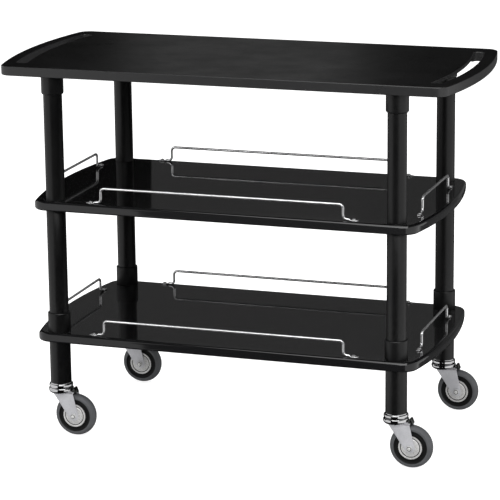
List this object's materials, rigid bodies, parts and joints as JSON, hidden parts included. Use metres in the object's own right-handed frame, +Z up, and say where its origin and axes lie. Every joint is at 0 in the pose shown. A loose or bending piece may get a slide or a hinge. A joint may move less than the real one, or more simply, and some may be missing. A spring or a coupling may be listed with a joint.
{
  "type": "rolling utility cart",
  "caption": "Rolling utility cart with a handled top deck and two lower shelves on post columns, wire guard rails and swivel casters.",
  "frame": {"origin": "on the floor, under the middle of the cart", "axes": "+X along the length, the way the casters trail; +Y across the cart toward the back; +Z up"},
  "size_m": [1.0998, 0.512, 0.878],
  "materials": {
    "deck_plastic": "satin, fine grain",
    "shelf_plastic": "gloss",
    "post_plastic": "satin",
    "rail_chrome": "bright plated wire",
    "screw_steel": "zinc plated",
    "head_chrome": "mirror",
    "fork_steel": "zinc plated, pressed",
    "core_plastic": "satin",
    "tyre_rubber": "matt grey"
  },
  "bodies": {
    "cart": {"top_deck": "deck_plastic", "middle_shelf": "shelf_plastic", "lower_shelf": "shelf_plastic", "top_socket_fl": "post_plastic", "upper_post_fl": "post_plastic", "lower_post_fl": "post_plastic", "shelf_collar_fl": "post_plastic", "leg_fl": "post_plastic", "top_socket_fr": "post_plastic", "upper_post_fr": "post_plastic", "lower_post_fr": "post_plastic", "shelf_collar_fr": "post_plastic", "leg_fr": "post_plastic", "top_socket_bl": "post_plastic", "upper_post_bl": "post_plastic", "lower_post_bl": "post_plastic", "shelf_collar_bl": "post_plastic", "leg_bl": "post_plastic", "top_socket_br": "post_plastic", "upper_post_br": "post_plastic", "lower_post_br": "post_plastic", "shelf_collar_br": "post_plastic", "leg_br": "post_plastic", "post_spigots": "post_plastic", "stem_sockets": "post_plastic", "rail_mid_front": "rail_chrome", "rail_mid_back": "rail_chrome", "rail_mid_left": "rail_chrome", "rail_mid_right": "rail_chrome", "rail_low_front": "rail_chrome", "rail_low_back": "rail_chrome", "rail_low_left": "rail_chrome", "rail_low_right": "rail_chrome", "rail_screws_mid": "screw_steel", "rail_screws_low": "screw_steel", "race_balls": "screw_steel", "swivel_head_fl": "head_chrome", "swivel_head_fr": "head_chrome", "swivel_head_bl": "head_chrome", "swivel_head_br": "head_chrome"},
    "swivel_fl": {"fork_fl": "fork_steel", "axle_set_fl": "screw_steel", "thread_guards_fl": "fork_steel"},
    "wheel_fl": {"wheel_core_fl": "core_plastic", "tyre_fl": "tyre_rubber"},
    "swivel_fr": {"fork_fr": "fork_steel", "axle_set_fr": "screw_steel", "thread_guards_fr": "fork_steel"},
    "wheel_fr": {"wheel_core_fr": "core_plastic", "tyre_fr": "tyre_rubber"},
    "swivel_bl": {"fork_bl": "fork_steel", "axle_set_bl": "screw_steel", "thread_guards_bl": "fork_steel"},
    "wheel_bl": {"wheel_core_bl": "core_plastic", "tyre_bl": "tyre_rubber"},
    "swivel_br": {"fork_br": "fork_steel", "axle_set_br": "screw_steel", "thread_guards_br": "fork_steel"},
    "wheel_br": {"wheel_core_br": "core_plastic", "tyre_br": "tyre_rubber"}
  },
  "joints": [
    {"name": "swivel_fl_turn", "type": "hinge", "parent": "cart", "child": "swivel_fl", "pos_m": [-0.4065, -0.2189, 0.11], "axis": [0, 0, 1], "continuous": true},
    {"name": "wheel_fl_spin", "type": "hinge", "parent": "swivel_fl", "child": "wheel_fl", "pos_m": [-0.3702, -0.2189, 0.05], "axis": [0, 1, 0], "continuous": true},
    {"name": "swivel_fr_turn", "type": "hinge", "parent": "cart", "child": "swivel_fr", "pos_m": [0.4065, -0.2189, 0.11], "axis": [0, 0, 1], "continuous": true},
    {"name": "wheel_fr_spin", "type": "hinge", "parent": "swivel_fr", "child": "wheel_fr", "pos_m": [0.4428, -0.2189, 0.05], "axis": [0, 1, 0], "continuous": true},
    {"name": "swivel_bl_turn", "type": "hinge", "parent": "cart", "child": "swivel_bl", "pos_m": [-0.4065, 0.2189, 0.11], "axis": [0, 0, 1], "continuous": true},
    {"name": "wheel_bl_spin", "type": "hinge", "parent": "swivel_bl", "child": "wheel_bl", "pos_m": [-0.3702, 0.2189, 0.05], "axis": [0, 1, 0], "continuous": true},
    {"name": "swivel_br_turn", "type": "hinge", "parent": "cart", "child": "swivel_br", "pos_m": [0.4065, 0.2189, 0.11], "axis": [0, 0, 1], "continuous": true},
    {"name": "wheel_br_spin", "type": "hinge", "parent": "swivel_br", "child": "wheel_br", "pos_m": [0.4428, 0.2189, 0.05], "axis": [0, 1, 0], "continuous": true}
  ]
}
